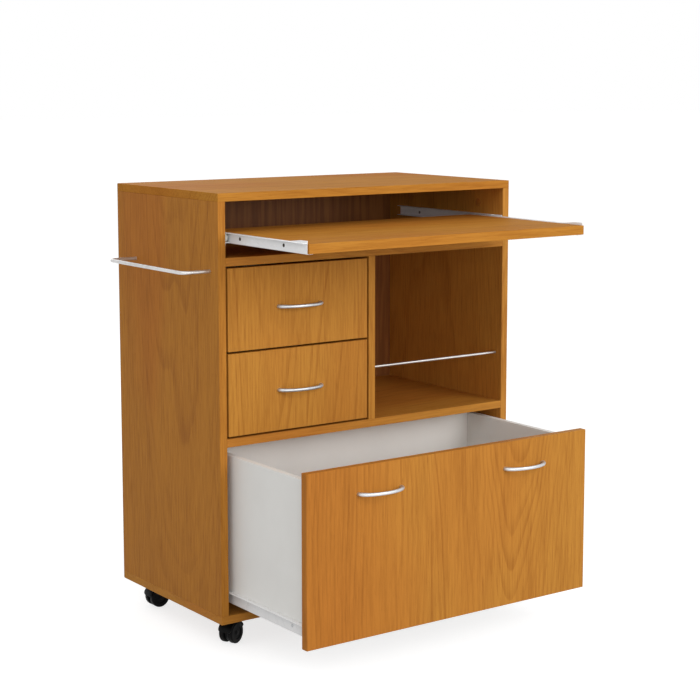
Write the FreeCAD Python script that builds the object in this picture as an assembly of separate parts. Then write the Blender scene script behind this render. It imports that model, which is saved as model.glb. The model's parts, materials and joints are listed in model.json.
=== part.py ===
import FreeCAD, Part
import math
import os
from collections import defaultdict, namedtuple
from FreeCAD import Placement, Rotation, Vector

# Kitchen cart on casters: laminated boards, a pull-out worktop, two small drawers, an open bay
# and a deep pot drawer. Millimetres, +Z up, the front faces -Y. It is laid out from the
# cabinet's left front corner on the floor, and moved to its reference point when it is written:
# the middle of the floor area that it covers as it stands, with worktop and pot drawer open.

# ---- cabinet ----
width = 714.0                # over the two side panels
board_depth = 393.0          # front edge to rear edge of every full board
board_t = 16.0
back_t = 3.0
back_inset = 1.0             # back panel inside the cabinet's outline
edge_r = 0.8                 # rounding of the edge banding
pot_bay_h = 330.0            # clear heights, from the base up
drawer_bay_h = 330.0
worktop_bay_h = 106.0
divider_x = 349.0            # left face of the upright between drawers and open bay

# ---- runners ----
runner_gap = 12.7            # side space that one runner pair takes
runner_rear_gap = 25.0       # behind the drawers' cabinet members, to the rear of the boards
runner_setback = 2.0         # cabinet member behind the plane in front of it
runner_kept = 50.0           # what stays in when a drawer is fully out
sheet_t = 1.2
track_w = 10.2               # cabinet member, across its open side
flange_w = 12.0              # drawer member under what it carries
flange_drop = 0.2            # below the cabinet member
lip_start = 3.0              # drawer member's lip from the cabinet's face
roll_gap = 0.3               # roller to the track above and below it
top_gap = 0.8                # lip to the track above it
roller_start = 3.2           # roller from the cabinet's face
roller_w = 5.6
roller_soft_r = 0.6
roller_inset = 12.0          # roller axis from the end of its member
small_roller_d = 16.0
pot_roller_d = 20.0
pin_d = 5.0
pin_head_d = 8.0
pin_head_t = 0.6
pin_end_gap = 0.1
nose_length = 14.0           # cabinet member's front end hangs lower
nose_drop = 6.0
runner_screw_front = 45.0    # screws from the ends of a member
runner_screw_rear = 70.0
worktop_screw_front = 74.0
worktop_screw_spacing = 147.0

# ---- worktop and drawers ----
worktop_left_in = 41.0       # how much further each could come out
pot_left_in = 37.0
small_front_gap = 4.0        # round the inset fronts
pot_front_gap = 2.0
box_t = 12.0                 # drawer sides and backs
box_rear_gap = 10.0          # drawer box shorter than its runners
small_box_drop = 37.8        # box below the upper edge of its front
pot_box_drop = 16.8
small_runner_lift = 12.0     # underside of a runner above the lower edge of its front
pot_runner_lift = 18.0
bottom_t = 4.0
groove_depth = 5.0
groove_height = 16.0         # drawer bottom above the lower edge of the sides
groove_gap = 0.1
worktop_t = 18.0
worktop_rear_gap = 43.0      # worktop shorter than the boards
worktop_lift = 27.0          # underside of its runners above the shelf below
worktop_runner_inset = 5.0   # runner ends behind the worktop's front edge
worktop_tab_h = 4.0          # raised front end of its runners
worktop_tab_length = 42.0

# ---- handles ----
handle_spacing = 96.0        # between the two screws
handle_reach = 26.0
handle_foot_w = 10.0
handle_foot_h = 8.0          # straight part of a foot, before the bow
handle_bar_t = 6.0
handle_h = 8.0
handle_corner_r = 5.0
handle_soft_r = 1.8
handle_hole_depth = 7.5
pot_handle_spread = 350.0    # between the two handle centres
pot_handle_drop = 52.0       # below the upper edge of the front

# ---- rails ----
towel_rod_d = 7.0
towel_bend_r = 14.0          # at the rod's centre line
towel_standoff = 60.0
towel_length = 288.0         # between the two legs
towel_front = 30.0           # front leg behind the cabinet's front
towel_drop = 148.0           # below the top of the cabinet
gallery_rod_d = 5.0
gallery_setback = 20.0
gallery_height = 102.0       # above the shelf
gallery_socket = 6.0

# ---- casters ----
caster_inset_x = 64.0
caster_inset_y = 54.0
caster_headings = {          # where each caster trails, in degrees from +X towards +Y
    "front_left": 204.0,
    "front_right": 188.0,
    "rear_left": 181.0,
    "rear_right": 172.0,
}
caster_trail = 16.0
plate_side = 40.0
plate_t = 2.5
plate_corner_r = 5.0
plate_hole_spacing = 28.0
stem_d = 8.0
stem_length = 13.0
boss_d = 17.0
boss_gap = 1.0               # under the plate
boss_rise = 5.5              # above the fender
wheel_d = 42.0
wheel_w = 11.0
wheel_soft_r = 2.5
wheel_side_gap = 0.5
recess_d = 26.0              # hub's recess in the wheel's outer face
recess_depth = 1.4
web_t = 8.0                  # hood's middle web, between the wheels
web_r = 17.0
fender_gap = 1.8
fender_t = 2.2
fender_start = 10.0          # degrees up from the trailing direction
fender_end = 165.0
axle_d = 5.0
axle_head_d = 9.0
axle_head_t = 1.0
running_gap = 0.05           # radial, wherever something turns on a pin

# ---- fasteners ----
ScrewSize = namedtuple("ScrewSize", "head_d head_h shank_d length")
caster_screw_size = ScrewSize(7.0, 2.0, 4.0, 14.0)
runner_screw_size = ScrewSize(6.5, 1.0, 3.5, 11.0)
handle_screw_size = ScrewSize(8.0, 2.4, 4.0, board_t + 6.5)
hole_gap = 0.1               # radial, round a screw, bolt, nail or rod end
cam_d = 15.0
cam_h = 12.5
cam_distance = 34.0          # cam centre from the end of its board
cam_inset = 80.0             # from the front and rear edges of the boards
cam_bolt_d = 6.0
cam_thread_d = 5.0
cam_thread = 11.0
cam_slot_w = 1.6
cam_slot_depth = 2.0
nail_head_d = 5.0
nail_head_t = 0.6
nail_d = 1.6
nail_length = 15.0
nail_inset = 60.0            # first nail from the corner of the back
nails_up = 5
nails_across = 3

# ---- levels and places that follow ----
depth = board_depth + back_t
base_z = wheel_d + fender_gap + fender_t + boss_rise + boss_gap + plate_t
pot_bay_z = base_z + board_t
mid_shelf_z = pot_bay_z + pot_bay_h
drawer_bay_z = mid_shelf_z + board_t
worktop_shelf_z = drawer_bay_z + drawer_bay_h
worktop_bay_z = worktop_shelf_z + board_t
top_z = worktop_bay_z + worktop_bay_h
cabinet_top = top_z + board_t
inner_left = board_t
inner_right = width - board_t
divider_right = divider_x + board_t
towel_z = cabinet_top - towel_drop
runner_length = board_depth - board_t - runner_setback - runner_rear_gap
runner_screw_ys = (runner_screw_front, runner_length - runner_screw_rear)
worktop_screw_ys = (worktop_screw_front, worktop_screw_front + worktop_screw_spacing)
worktop_depth = board_depth - worktop_rear_gap
worktop_pull = runner_length - runner_kept - worktop_left_in
pot_pull = runner_length - runner_kept - pot_left_in
box_depth = runner_length - box_rear_gap
pot_front_h = pot_bay_h - 2 * pot_front_gap
small_front_h = (drawer_bay_h - 3 * small_front_gap) / 2
roller_end = roller_start + roller_w
wheel_r = wheel_d / 2
hood_w = web_t + 2 * (wheel_side_gap + wheel_w)

reference = Vector(
    (width - towel_standoff - towel_rod_d / 2) / 2,
    (depth + nail_head_t - pot_pull - handle_reach) / 2,
    0,
)
X, Y, Z = Vector(1, 0, 0), Vector(0, 1, 0), Vector(0, 0, 1)

parts = {}                   # node name: its shape
pockets = defaultdict(list)  # node name: what is cut out of it at the end
cabinet_fasteners = []


# ---- helpers ----
def block(x0, x1, y0, y1, z0, z1):
    """A plain block between two corners."""
    return Part.makeBox(x1 - x0, y1 - y0, z1 - z0, Vector(x0, y0, z0))


def board(x0, x1, y0, y1, z0, z1, soft=edge_r):
    """A board with all its edges slightly rounded."""
    plain = block(x0, x1, y0, y1, z0, z1)
    return plain.makeFillet(soft, plain.Edges)


def rod(start, direction, d, length):
    """A round bar that runs from a point along a direction."""
    return Part.makeCylinder(d / 2, length, start, direction)


def union(shapes):
    """One solid from shapes that touch."""
    return shapes[0].multiFuse(shapes[1:]).removeSplitter()


def placed(shape, point, direction=Z):
    """A copy with its own origin at a point and its own +Z along a direction."""
    copy = shape.copy()
    copy.Placement = Placement(point, Rotation(Z, direction))
    return copy


def both_sides(shapes, x):
    """The shapes and their mirror images across the plane at x."""
    return shapes + [shape.mirror(Vector(x, 0, 0), X) for shape in shapes]


def turned(points, arc_middle):
    """The solid that an outline in the XZ plane makes round the Z axis.

    The outline starts with an arc from the first point through arc_middle to the second.
    """
    corners = [Vector(r, 0, z) for r, z in points]
    edges = [Part.Arc(corners[0], Vector(arc_middle[0], 0, arc_middle[1]), corners[1]).toShape()]
    edges += [Part.makeLine(a, b) for a, b in zip(corners[1:], corners[2:] + corners[:1])]
    return Part.Face(Part.Wire(edges)).revolve(Vector(), Z, 360)


def pan_screw(size):
    """A screw along +Z whose domed, cross-recessed head ends at the origin."""
    head_r, shank_r = size.head_d / 2, size.shank_d / 2
    points = [
        (0, -size.head_h),
        (head_r, -0.4 * size.head_h),
        (head_r, 0),
        (shank_r, 0),
        (shank_r, size.length - shank_r),
        (0, size.length),
    ]
    body = turned(points, (0.7 * head_r, -0.85 * size.head_h))
    return body.cut(cross(0.6 * size.head_d, 0.12 * size.head_d, 0.5 * size.head_h, -size.head_h))


def cross(length, slot_w, slot_depth, z):
    """A cross recess that goes up from the level z."""
    half, side = length / 2, slot_w / 2
    along = block(-half, half, -side, side, z, z + slot_depth)
    return along.fuse(block(-side, side, -half, half, z, z + slot_depth))


def drill(names, point, direction, d, length):
    """Cuts one hole for a fastener of diameter d through every named board."""
    for name in names:
        pockets[name].append(rod(point, direction, d + 2 * hole_gap, length))


caster_screw, runner_screw, handle_screw = (
    pan_screw(size) for size in (caster_screw_size, runner_screw_size, handle_screw_size)
)


# ---- cabinet ----
def build_boards():
    """The boards of the cabinet: sides stand on the base, and the top covers them."""
    def full_board(x0, x1, z0, z1):
        return board(x0, x1, 0, board_depth, z0, z1)

    parts["base_panel"] = full_board(0, width, base_z, pot_bay_z)
    parts["left_side_panel"] = full_board(0, inner_left, pot_bay_z, top_z)
    parts["right_side_panel"] = full_board(inner_right, width, pot_bay_z, top_z)
    parts["middle_shelf"] = full_board(inner_left, inner_right, mid_shelf_z, drawer_bay_z)
    parts["divider"] = full_board(divider_x, divider_right, drawer_bay_z, worktop_shelf_z)
    parts["worktop_shelf"] = full_board(inner_left, inner_right, worktop_shelf_z, worktop_bay_z)
    parts["top_panel"] = full_board(0, width, top_z, cabinet_top)
    parts["back_panel"] = board(
        back_inset, width - back_inset, board_depth, depth,
        base_z + back_inset, cabinet_top - back_inset, back_t / 4,
    )


def make_cam():
    """A cam along +Z with its slotted face at the origin."""
    disc = rod(Z * -cam_h, Z, cam_d, cam_h)
    return disc.cut(cross(0.7 * cam_d, cam_slot_w, cam_slot_depth, -cam_slot_depth))


def cam_joints(x, z, into, face, holder, mate):
    """Two cams in a board that pull its end against another board.

    x and z are the middle of the board's end. into points from there into the other board, and
    face is the way that the cams look.
    """
    cam = make_cam()
    for y in (cam_inset, board_depth - cam_inset):
        end = Vector(x, y, z)
        centre = end - into * cam_distance
        seat = centre + face * (board_t / 2)
        bolt_start = centre + into * (cam_d / 2)
        bolt = rod(bolt_start, into, cam_bolt_d, cam_distance - cam_d / 2)
        thread = rod(end, into, cam_thread_d, cam_thread)
        cabinet_fasteners.extend([placed(cam, seat, face), union([bolt, thread])])
        drill([holder], seat, -face, cam_d, cam_h + hole_gap)
        drill([holder], centre, into, cam_bolt_d, cam_distance)
        drill([mate], end, into, cam_thread_d, cam_thread + hole_gap)


def build_cam_joints():
    """The hidden joints between the cabinet's boards."""
    half = board_t / 2
    for x, inward, side in (
        (half, X, "left_side_panel"),
        (width - half, -X, "right_side_panel"),
    ):
        cam_joints(x, top_z, Z, inward, side, "top_panel")
        cam_joints(x, pot_bay_z, -Z, inward, side, "base_panel")
    for z, shelf in ((mid_shelf_z + half, "middle_shelf"), (worktop_shelf_z + half, "worktop_shelf")):
        cam_joints(inner_left, z, -X, -Z, shelf, "left_side_panel")
        cam_joints(inner_right, z, X, -Z, shelf, "right_side_panel")
    cam_joints(divider_x + half, drawer_bay_z, -Z, -X, "divider", "middle_shelf")
    cam_joints(divider_x + half, worktop_shelf_z, Z, -X, "divider", "worktop_shelf")


def build_back_nails():
    """Nails through the back panel into the rear edges of the boards."""
    head = rod(Z * -nail_head_t, Z, nail_head_d, nail_head_t)
    nail = union([head, rod(Vector(), Z, nail_d, nail_length)])
    half = board_t / 2
    rise = (cabinet_top - base_z - 2 * nail_inset) / (nails_up - 1)
    run = (width - 2 * nail_inset) / (nails_across - 1)
    spots = [
        (x, base_z + nail_inset + i * rise, side)
        for x, side in ((half, "left_side_panel"), (width - half, "right_side_panel"))
        for i in range(nails_up)
    ]
    spots += [
        (nail_inset + i * run, z + half, shelf)
        for z, shelf in (
            (base_z, "base_panel"),
            (mid_shelf_z, "middle_shelf"),
            (worktop_shelf_z, "worktop_shelf"),
            (top_z, "top_panel"),
        )
        for i in range(nails_across)
    ]
    for x, z, name in spots:
        point = Vector(x, depth, z)
        cabinet_fasteners.append(placed(nail, point, -Y))
        drill(["back_panel", name], point, -Y, nail_d, nail_length + hole_gap)


# ---- runners ----
def lip_height(roller_d):
    """Underside of the drawer member's lip above the underside of the cabinet member."""
    return sheet_t + 2 * roll_gap + roller_d


def roller_height(roller_d):
    """Roller axis above the underside of the cabinet member."""
    return sheet_t + roll_gap + roller_d / 2


def screw_row(ys, z, x):
    """Holes for runner screws through a web whose left face is at x."""
    hole_d = runner_screw_size.shank_d + 2 * hole_gap
    return Part.makeCompound([rod(Vector(x, y, z), X, hole_d, sheet_t) for y in ys])


def cabinet_member(roller_d):
    """Left-hand cabinet member from its own front end: a channel, with a pin for its roller."""
    height = lip_height(roller_d) + 2 * sheet_t + top_gap
    axis_z = roller_height(roller_d)
    shapes = [
        block(0, sheet_t, 0, runner_length, 0, height),
        block(0, track_w, 0, runner_length, 0, sheet_t),
        block(0, track_w, 2 * roller_inset, runner_length, height - sheet_t, height),
        block(0, sheet_t, 0, nose_length, -nose_drop, 0),
        rod(Vector(0, roller_inset, axis_z), X, pin_d, roller_end + pin_end_gap),
        rod(Vector(roller_end + pin_end_gap, roller_inset, axis_z), X, pin_head_d, pin_head_t),
    ]
    return union(shapes).cut(screw_row(runner_screw_ys, axis_z, 0))


def drawer_member(roller_d, screw_ys, tab_h=0.0):
    """Left-hand drawer member from its own front end, with a pin for the roller at its rear."""
    lip_z = lip_height(roller_d)
    axis_z = roller_height(roller_d)
    web_x = runner_gap - sheet_t
    flange_z = -flange_drop - sheet_t
    rear = runner_length - roller_inset
    pin_tip = roller_start - pin_end_gap
    shapes = [
        block(web_x, runner_gap, 0, runner_length, flange_z, lip_z + sheet_t),
        block(lip_start, runner_gap, 0, runner_length, lip_z, lip_z + sheet_t),
        block(web_x, runner_gap + flange_w, 0, runner_length, flange_z, flange_z + sheet_t),
        rod(Vector(web_x, rear, axis_z), -X, pin_d, web_x - pin_tip),
        rod(Vector(pin_tip, rear, axis_z), -X, pin_head_d, pin_head_t),
    ]
    if tab_h:
        top = lip_z + sheet_t
        shapes.append(block(web_x, runner_gap, 0, worktop_tab_length, top, top + tab_h))
    return union(shapes).cut(screw_row(screw_ys, axis_z, web_x))


def roller_pair(x0, x1, y, z, roller_d):
    """The two rollers that turn on one line, at the left and the right of a bay."""
    wheel = rod(Vector(x0 + roller_start, y, z), X, roller_d, roller_w)
    wheel = wheel.makeFillet(roller_soft_r, [e for e in wheel.Edges if len(e.Vertexes) == 1])
    bore = rod(Vector(x0 + roller_start, y, z), X, pin_d + 2 * running_gap, roller_w)
    return Part.makeCompound(both_sides([wheel.cut(bore)], (x0 + x1) / 2))


def runner_screws(x, ys, z, direction, middle, boards):
    """Two mirrored rows of runner screws, heads on a web at x, and their holes in both boards."""
    screws = []
    hole_d = runner_screw_size.shank_d + 2 * hole_gap
    for y in ys:
        seat = Vector(x, y, z)
        hole = rod(seat, direction, hole_d, runner_screw_size.length + hole_gap)
        screws += both_sides([placed(runner_screw, seat, direction)], middle)
        for name, cut in zip(boards, both_sides([hole], middle)):
            pockets[name].append(cut)
    return screws


def build_runners(name, bay, front, member_y, flange_z, roller_d, walls, carried, screw_ys, tab_h=0.0):
    """Both runner pairs of a drawer or worktop, their four rollers and the screws.

    Args:
        name: Prefix of the node names.
        bay: The two faces that the cabinet members are screwed to.
        front: Front end of the cabinet members.
        member_y: Front end of the drawer members, as the drawer stands.
        flange_z: Underside of the drawer members.
        roller_d: Diameter of the rollers.
        walls: Names of the two boards that carry the cabinet members.
        carried: Names of the two boards that the drawer members are screwed to.
        screw_ys: Screws of a drawer member, from its front end.
        tab_h: Height of the drawer members' raised front end.

    Returns:
        The cabinet members and the screws of the drawer members.
    """
    x0, x1 = bay
    middle = (x0 + x1) / 2
    z = flange_z + sheet_t + flange_drop
    axis_z = z + roller_height(roller_d)

    fixed = placed(cabinet_member(roller_d), Vector(x0, front, z))
    moving = placed(drawer_member(roller_d, screw_ys, tab_h), Vector(x0, member_y, z))
    parts[name + "_runners"] = Part.makeCompound(both_sides([moving], middle))
    parts[name + "_front_rollers"] = roller_pair(x0, x1, front + roller_inset, axis_z, roller_d)
    rear = member_y + runner_length - roller_inset
    parts[name + "_rear_rollers"] = roller_pair(x0, x1, rear, axis_z, roller_d)

    wall_ys = [front + y for y in runner_screw_ys]
    side_ys = [member_y + y for y in screw_ys]
    cabinet_fasteners.extend(runner_screws(x0 + sheet_t, wall_ys, axis_z, -X, middle, walls))
    web_x = x0 + runner_gap - sheet_t
    return both_sides([fixed], middle), runner_screws(web_x, side_ys, axis_z, X, middle, carried)


# ---- handles ----
def make_handle():
    """A bow handle with its feet on the XZ plane and its bow towards -Y."""
    foot_out = (handle_spacing + handle_foot_w) / 2
    foot_in = foot_out - handle_foot_w

    def bow(x, y, apex):
        return Part.Arc(Vector(-x, y, 0), Vector(0, apex, 0), Vector(x, y, 0)).toShape()

    outer = [Vector(-foot_out, 0, 0), Vector(-foot_out, -handle_foot_h, 0)]
    inner = [Vector(foot_in, 0, 0), Vector(foot_in, -handle_foot_h, 0)]
    outline = Part.Wire([
        Part.makeLine(outer[0], outer[1]),
        bow(foot_out, -handle_foot_h, -handle_reach),
        Part.makeLine(Vector(foot_out, -handle_foot_h, 0), Vector(foot_out, 0, 0)),
        Part.makeLine(Vector(foot_out, 0, 0), inner[0]),
        Part.makeLine(inner[0], inner[1]),
        bow(foot_in, -handle_foot_h, handle_bar_t - handle_reach),
        Part.makeLine(Vector(-foot_in, -handle_foot_h, 0), Vector(-foot_in, 0, 0)),
        Part.makeLine(Vector(-foot_in, 0, 0), outer[0]),
    ])
    solid = Part.Face(outline).extrude(Z * handle_h)
    solid.translate(Z * (-handle_h / 2))
    corners = [
        e for e in solid.Edges
        if e.BoundBox.ZLength > handle_h / 2 and abs(e.BoundBox.YMax + handle_foot_h) < 0.01
    ]
    solid = solid.makeFillet(handle_corner_r, corners)
    rims = [e for e in solid.Edges if e.BoundBox.ZLength < 0.01 and e.BoundBox.YMin < -0.01]
    solid = solid.makeFillet(handle_soft_r, rims)
    holes = [
        rod(Vector(x, 0, 0), -Y, handle_screw_size.shank_d + 2 * hole_gap, handle_hole_depth)
        for x in (-handle_spacing / 2, handle_spacing / 2)
    ]
    return solid.cut(Part.makeCompound(holes))


def add_handle(x, y, z, front):
    """A handle on a front whose outer face is at y. Returns the handle and its two screws."""
    screws = []
    for side in (-1, 1):
        seat = Vector(x + side * handle_spacing / 2, y + board_t, z)
        screws.append(placed(handle_screw, seat, -Y))
        drill([front], seat, -Y, handle_screw_size.shank_d, board_t)
    return placed(handle, Vector(x, y, z)), screws


# ---- drawers and worktop ----
def build_drawer(name, bay, walls, gap, front_z, front_h, lift, box_drop, roller_d, pull):
    """A drawer: inset front, four-sided box with a bottom in grooves, and its runners.

    Returns its cabinet members and the screws that ride with it.
    """
    x0, x1 = bay
    front, left, right, back, bottom = (
        f"{name}_{piece}" for piece in ("front", "left_side", "right_side", "back", "bottom")
    )
    box_x0, box_x1 = x0 + runner_gap, x1 - runner_gap
    box_y0 = board_t - pull
    box_y1 = box_y0 + box_depth
    box_z = front_z + lift + sheet_t
    box_top = front_z + front_h - box_drop

    parts[front] = board(x0 + gap, x1 - gap, -pull, box_y0, front_z, front_z + front_h)
    parts[left] = board(box_x0, box_x0 + box_t, box_y0, box_y1, box_z, box_top)
    parts[right] = board(box_x1 - box_t, box_x1, box_y0, box_y1, box_z, box_top)
    parts[back] = board(box_x0 + box_t, box_x1 - box_t, box_y1 - box_t, box_y1, box_z, box_top)

    reach = box_t - groove_depth
    floor_z = box_z + groove_height
    edges = (box_x0 + reach, box_x1 - reach, box_y0 - groove_depth, box_y1 - reach)
    parts[bottom] = block(*edges, floor_z, floor_z + bottom_t)
    groove = block(
        edges[0] - groove_gap, edges[1] + groove_gap, edges[2] - groove_gap, edges[3] + groove_gap,
        floor_z - groove_gap, floor_z + bottom_t + groove_gap,
    )
    for piece in (front, left, right, back):
        pockets[piece].append(groove)

    return build_runners(
        name, bay, board_t + runner_setback, box_y0, front_z + lift, roller_d,
        walls, (left, right), runner_screw_ys,
    )


def build_small_drawers():
    """The two drawers beside the open bay, shut, with one handle each."""
    bay = (inner_left, divider_x)
    members = []
    for i, name in enumerate(("lower_drawer", "upper_drawer")):
        front_z = drawer_bay_z + small_front_gap + i * (small_front_h + small_front_gap)
        fixed, screws = build_drawer(
            name, bay, ("left_side_panel", "divider"), small_front_gap, front_z, small_front_h,
            small_runner_lift, small_box_drop, small_roller_d, 0.0,
        )
        grip, grip_screws = add_handle(sum(bay) / 2, 0.0, front_z + small_front_h / 2, name + "_front")
        parts[name + "_handle"] = grip
        parts[name + "_screws"] = Part.makeCompound(screws + grip_screws)
        members += fixed
    return members


def build_pot_drawer():
    """The deep drawer, standing open, with two handles."""
    name = "pot_drawer"
    front_z = pot_bay_z + pot_front_gap
    members, screws = build_drawer(
        name, (inner_left, inner_right), ("left_side_panel", "right_side_panel"), pot_front_gap,
        front_z, pot_front_h, pot_runner_lift, pot_box_drop, pot_roller_d, pot_pull,
    )
    grips = []
    for side in (-1, 1):
        grip, grip_screws = add_handle(
            width / 2 + side * pot_handle_spread / 2, -pot_pull,
            front_z + pot_front_h - pot_handle_drop, name + "_front",
        )
        grips.append(grip)
        screws += grip_screws
    parts[name + "_handles"] = Part.makeCompound(grips)
    parts[name + "_screws"] = Part.makeCompound(screws)
    return members


def build_worktop():
    """The pull-out worktop, standing open on its runners."""
    flange_z = worktop_bay_z + worktop_lift
    board_z = flange_z + sheet_t
    parts["worktop_board"] = board(
        inner_left + runner_gap, inner_right - runner_gap,
        -worktop_pull, worktop_depth - worktop_pull, board_z, board_z + worktop_t,
    )
    members, screws = build_runners(
        "worktop", (inner_left, inner_right), runner_setback,
        worktop_runner_inset - worktop_pull, flange_z, small_roller_d,
        ("left_side_panel", "right_side_panel"), ("worktop_board", "worktop_board"),
        worktop_screw_ys, worktop_tab_h,
    )
    parts["worktop_screws"] = Part.makeCompound(screws)
    return members


# ---- rails ----
def build_towel_rail():
    """A bent rod on the left side, screwed on from inside the cabinet."""
    y0, y1 = towel_front, towel_front + towel_length
    out, bend = -towel_standoff, towel_bend_r
    turn = bend * (1 - math.sqrt(0.5))

    def at(x, y):
        return Vector(x, y, towel_z)

    path = Part.Wire([
        Part.makeLine(at(0, y0), at(out + bend, y0)),
        Part.Arc(at(out + bend, y0), at(out + turn, y0 + turn), at(out, y0 + bend)).toShape(),
        Part.makeLine(at(out, y0 + bend), at(out, y1 - bend)),
        Part.Arc(at(out, y1 - bend), at(out + turn, y1 - turn), at(out + bend, y1)).toShape(),
        Part.makeLine(at(out + bend, y1), at(0, y1)),
    ])
    section = Part.Wire([Part.makeCircle(towel_rod_d / 2, at(0, y0), X)])
    parts["towel_rail"] = path.makePipeShell([section], True, False)
    for y in (y0, y1):
        seat = at(board_t, y)
        cabinet_fasteners.append(placed(handle_screw, seat, -X))
        length = handle_screw_size.length + hole_gap
        drill(["left_side_panel", "towel_rail"], seat, -X, handle_screw_size.shank_d, length)


def build_gallery_rail():
    """A straight rod across the open bay, its ends in blind sockets."""
    start = Vector(divider_right - gallery_socket, gallery_setback, drawer_bay_z + gallery_height)
    length = inner_right - divider_right + 2 * gallery_socket
    parts["gallery_rail"] = rod(start, X, gallery_rod_d, length)
    drill(["divider", "right_side_panel"], start - X * hole_gap, X, gallery_rod_d, length + 2 * hole_gap)


# ---- casters ----
def make_caster_plate():
    """Mounting plate with its swivel stem on the Z axis, at its own height above the floor."""
    half, hole = plate_side / 2, plate_hole_spacing / 2
    plate = block(-half, half, -half, half, base_z - plate_t, base_z)
    plate = plate.makeFillet(plate_corner_r, [e for e in plate.Edges if e.BoundBox.ZLength > plate_t / 2])
    stem = rod(Z * (base_z - plate_t - stem_length), Z, stem_d, stem_length)
    holes = [
        rod(Vector(x, y, base_z - plate_t), Z, caster_screw_size.shank_d + 2 * hole_gap, plate_t)
        for x in (-hole, hole) for y in (-hole, hole)
    ]
    return union([plate, stem]).cut(Part.makeCompound(holes))


def wheel_cylinder(r, y0, y1):
    """A cylinder round the axle's line between two side planes."""
    return rod(Vector(caster_trail, y0, wheel_r), Y, 2 * r, y1 - y0)


def make_hood():
    """Swivelling hood that trails towards +X, with the axle as a second solid."""
    inner_r = wheel_r + fender_gap
    outer_r = inner_r + fender_t
    side = hood_w / 2
    shell = wheel_cylinder(outer_r, -side, side).cut(wheel_cylinder(inner_r, -side, side))

    def ray(angle):
        lean = math.radians(angle)
        return Vector(math.cos(lean), 0, math.sin(lean)) * (2 * outer_r)

    axle_point = Vector(caster_trail, -side, wheel_r)
    fan = [axle_point, axle_point + ray(fender_start), axle_point + ray((fender_start + fender_end) / 2)]
    fan += [axle_point + ray(fender_end), axle_point]
    fender = shell.common(Part.Face(Part.makePolygon(fan)).extrude(Y * hood_w))

    boss_top = wheel_d + fender_gap + fender_t + boss_rise
    boss_z = wheel_r + outer_r * math.sin(math.radians(fender_end))
    boss = rod(Z * boss_z, Z, boss_d, boss_top - boss_z)
    wheel_space = [
        wheel_cylinder(inner_r, web_t / 2, side + 1),
        wheel_cylinder(inner_r, -side - 1, -web_t / 2),
    ]
    boss = boss.cut(Part.makeCompound(wheel_space))
    web = wheel_cylinder(web_r, -web_t / 2, web_t / 2)
    crown = wheel_cylinder(inner_r + fender_t / 2, -web_t / 2, web_t / 2).common(
        block(-boss_d / 2, caster_trail + web_r, -web_t / 2, web_t / 2, wheel_r, boss_top)
    )
    stem_hole = rod(Z * (boss_top - stem_length), Z, stem_d + 2 * running_gap, stem_length + boss_gap)
    hood = union([fender, boss, web, crown]).cut(stem_hole)
    hood = hood.cut(wheel_cylinder(axle_d / 2, -web_t, web_t))

    head_y = side - recess_depth + running_gap
    reach = head_y + axle_head_t
    axle = union([
        wheel_cylinder(axle_d / 2, -reach, reach),
        wheel_cylinder(axle_head_d / 2, head_y, reach),
        wheel_cylinder(axle_head_d / 2, -reach, -head_y),
    ])
    return [hood, axle]


def make_wheel(sign):
    """One of the twin wheels, on the +Y or the -Y side of the hood's web."""
    near = web_t / 2 + wheel_side_gap
    tyre = wheel_cylinder(wheel_r, near, near + wheel_w)
    tyre = tyre.makeFillet(wheel_soft_r, [e for e in tyre.Edges if len(e.Vertexes) == 1])
    tyre = tyre.cut(wheel_cylinder(recess_d / 2, near + wheel_w - recess_depth, near + wheel_w))
    tyre = tyre.cut(wheel_cylinder(axle_d / 2 + running_gap, near, near + wheel_w))
    return tyre if sign > 0 else tyre.mirror(Vector(), Y)


def build_casters():
    """Four casters, each turned to where it trails."""
    plates = []
    hole = plate_hole_spacing / 2
    for corner, heading in caster_headings.items():
        end, side = corner.split("_")
        x = caster_inset_x if side == "left" else width - caster_inset_x
        y = caster_inset_y if end == "front" else board_depth - caster_inset_y
        spot = Placement(Vector(x, y, 0), Rotation(Z, heading))

        def turn(shape):
            return shape.copy().transformShape(spot.toMatrix())

        plates.append(placed(make_caster_plate(), Vector(x, y, 0)))
        parts[corner + "_caster_hood"] = Part.makeCompound([turn(s) for s in make_hood()])
        parts[corner + "_caster_right_wheel"] = turn(make_wheel(1))
        parts[corner + "_caster_left_wheel"] = turn(make_wheel(-1))
        for dx in (-hole, hole):
            for dy in (-hole, hole):
                seat = Vector(x + dx, y + dy, base_z - plate_t)
                cabinet_fasteners.append(placed(caster_screw, seat, Z))
                length = caster_screw_size.length + hole_gap
                drill(["base_panel"], seat, Z, caster_screw_size.shank_d, length)
    parts["caster_plates"] = Part.makeCompound(plates)


# ---- build and write ----
handle = make_handle()
build_boards()
build_cam_joints()
build_back_nails()
parts["cabinet_runners"] = Part.makeCompound(build_small_drawers() + build_pot_drawer() + build_worktop())
build_towel_rail()
build_gallery_rail()
build_casters()
parts["cabinet_fasteners"] = Part.makeCompound(cabinet_fasteners)
for name, tools in pockets.items():
    parts[name] = parts[name].cut(Part.makeCompound(tools))

os.makedirs("parts", exist_ok=True)
for name, shape in parts.items():
    shape.translate(-reference)
    shape.exportStep(f"parts/{name}.step")
print(f"{len(parts)} nodes, reference point {reference.x:.3f}, {reference.y:.3f}")
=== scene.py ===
"""Looks of a kitchen cart on casters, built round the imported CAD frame. Metres, front to -Y."""

import json
import logging
import math
from dataclasses import dataclass
from enum import Enum

import bmesh
import bpy
from mathutils import Matrix, Vector


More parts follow.
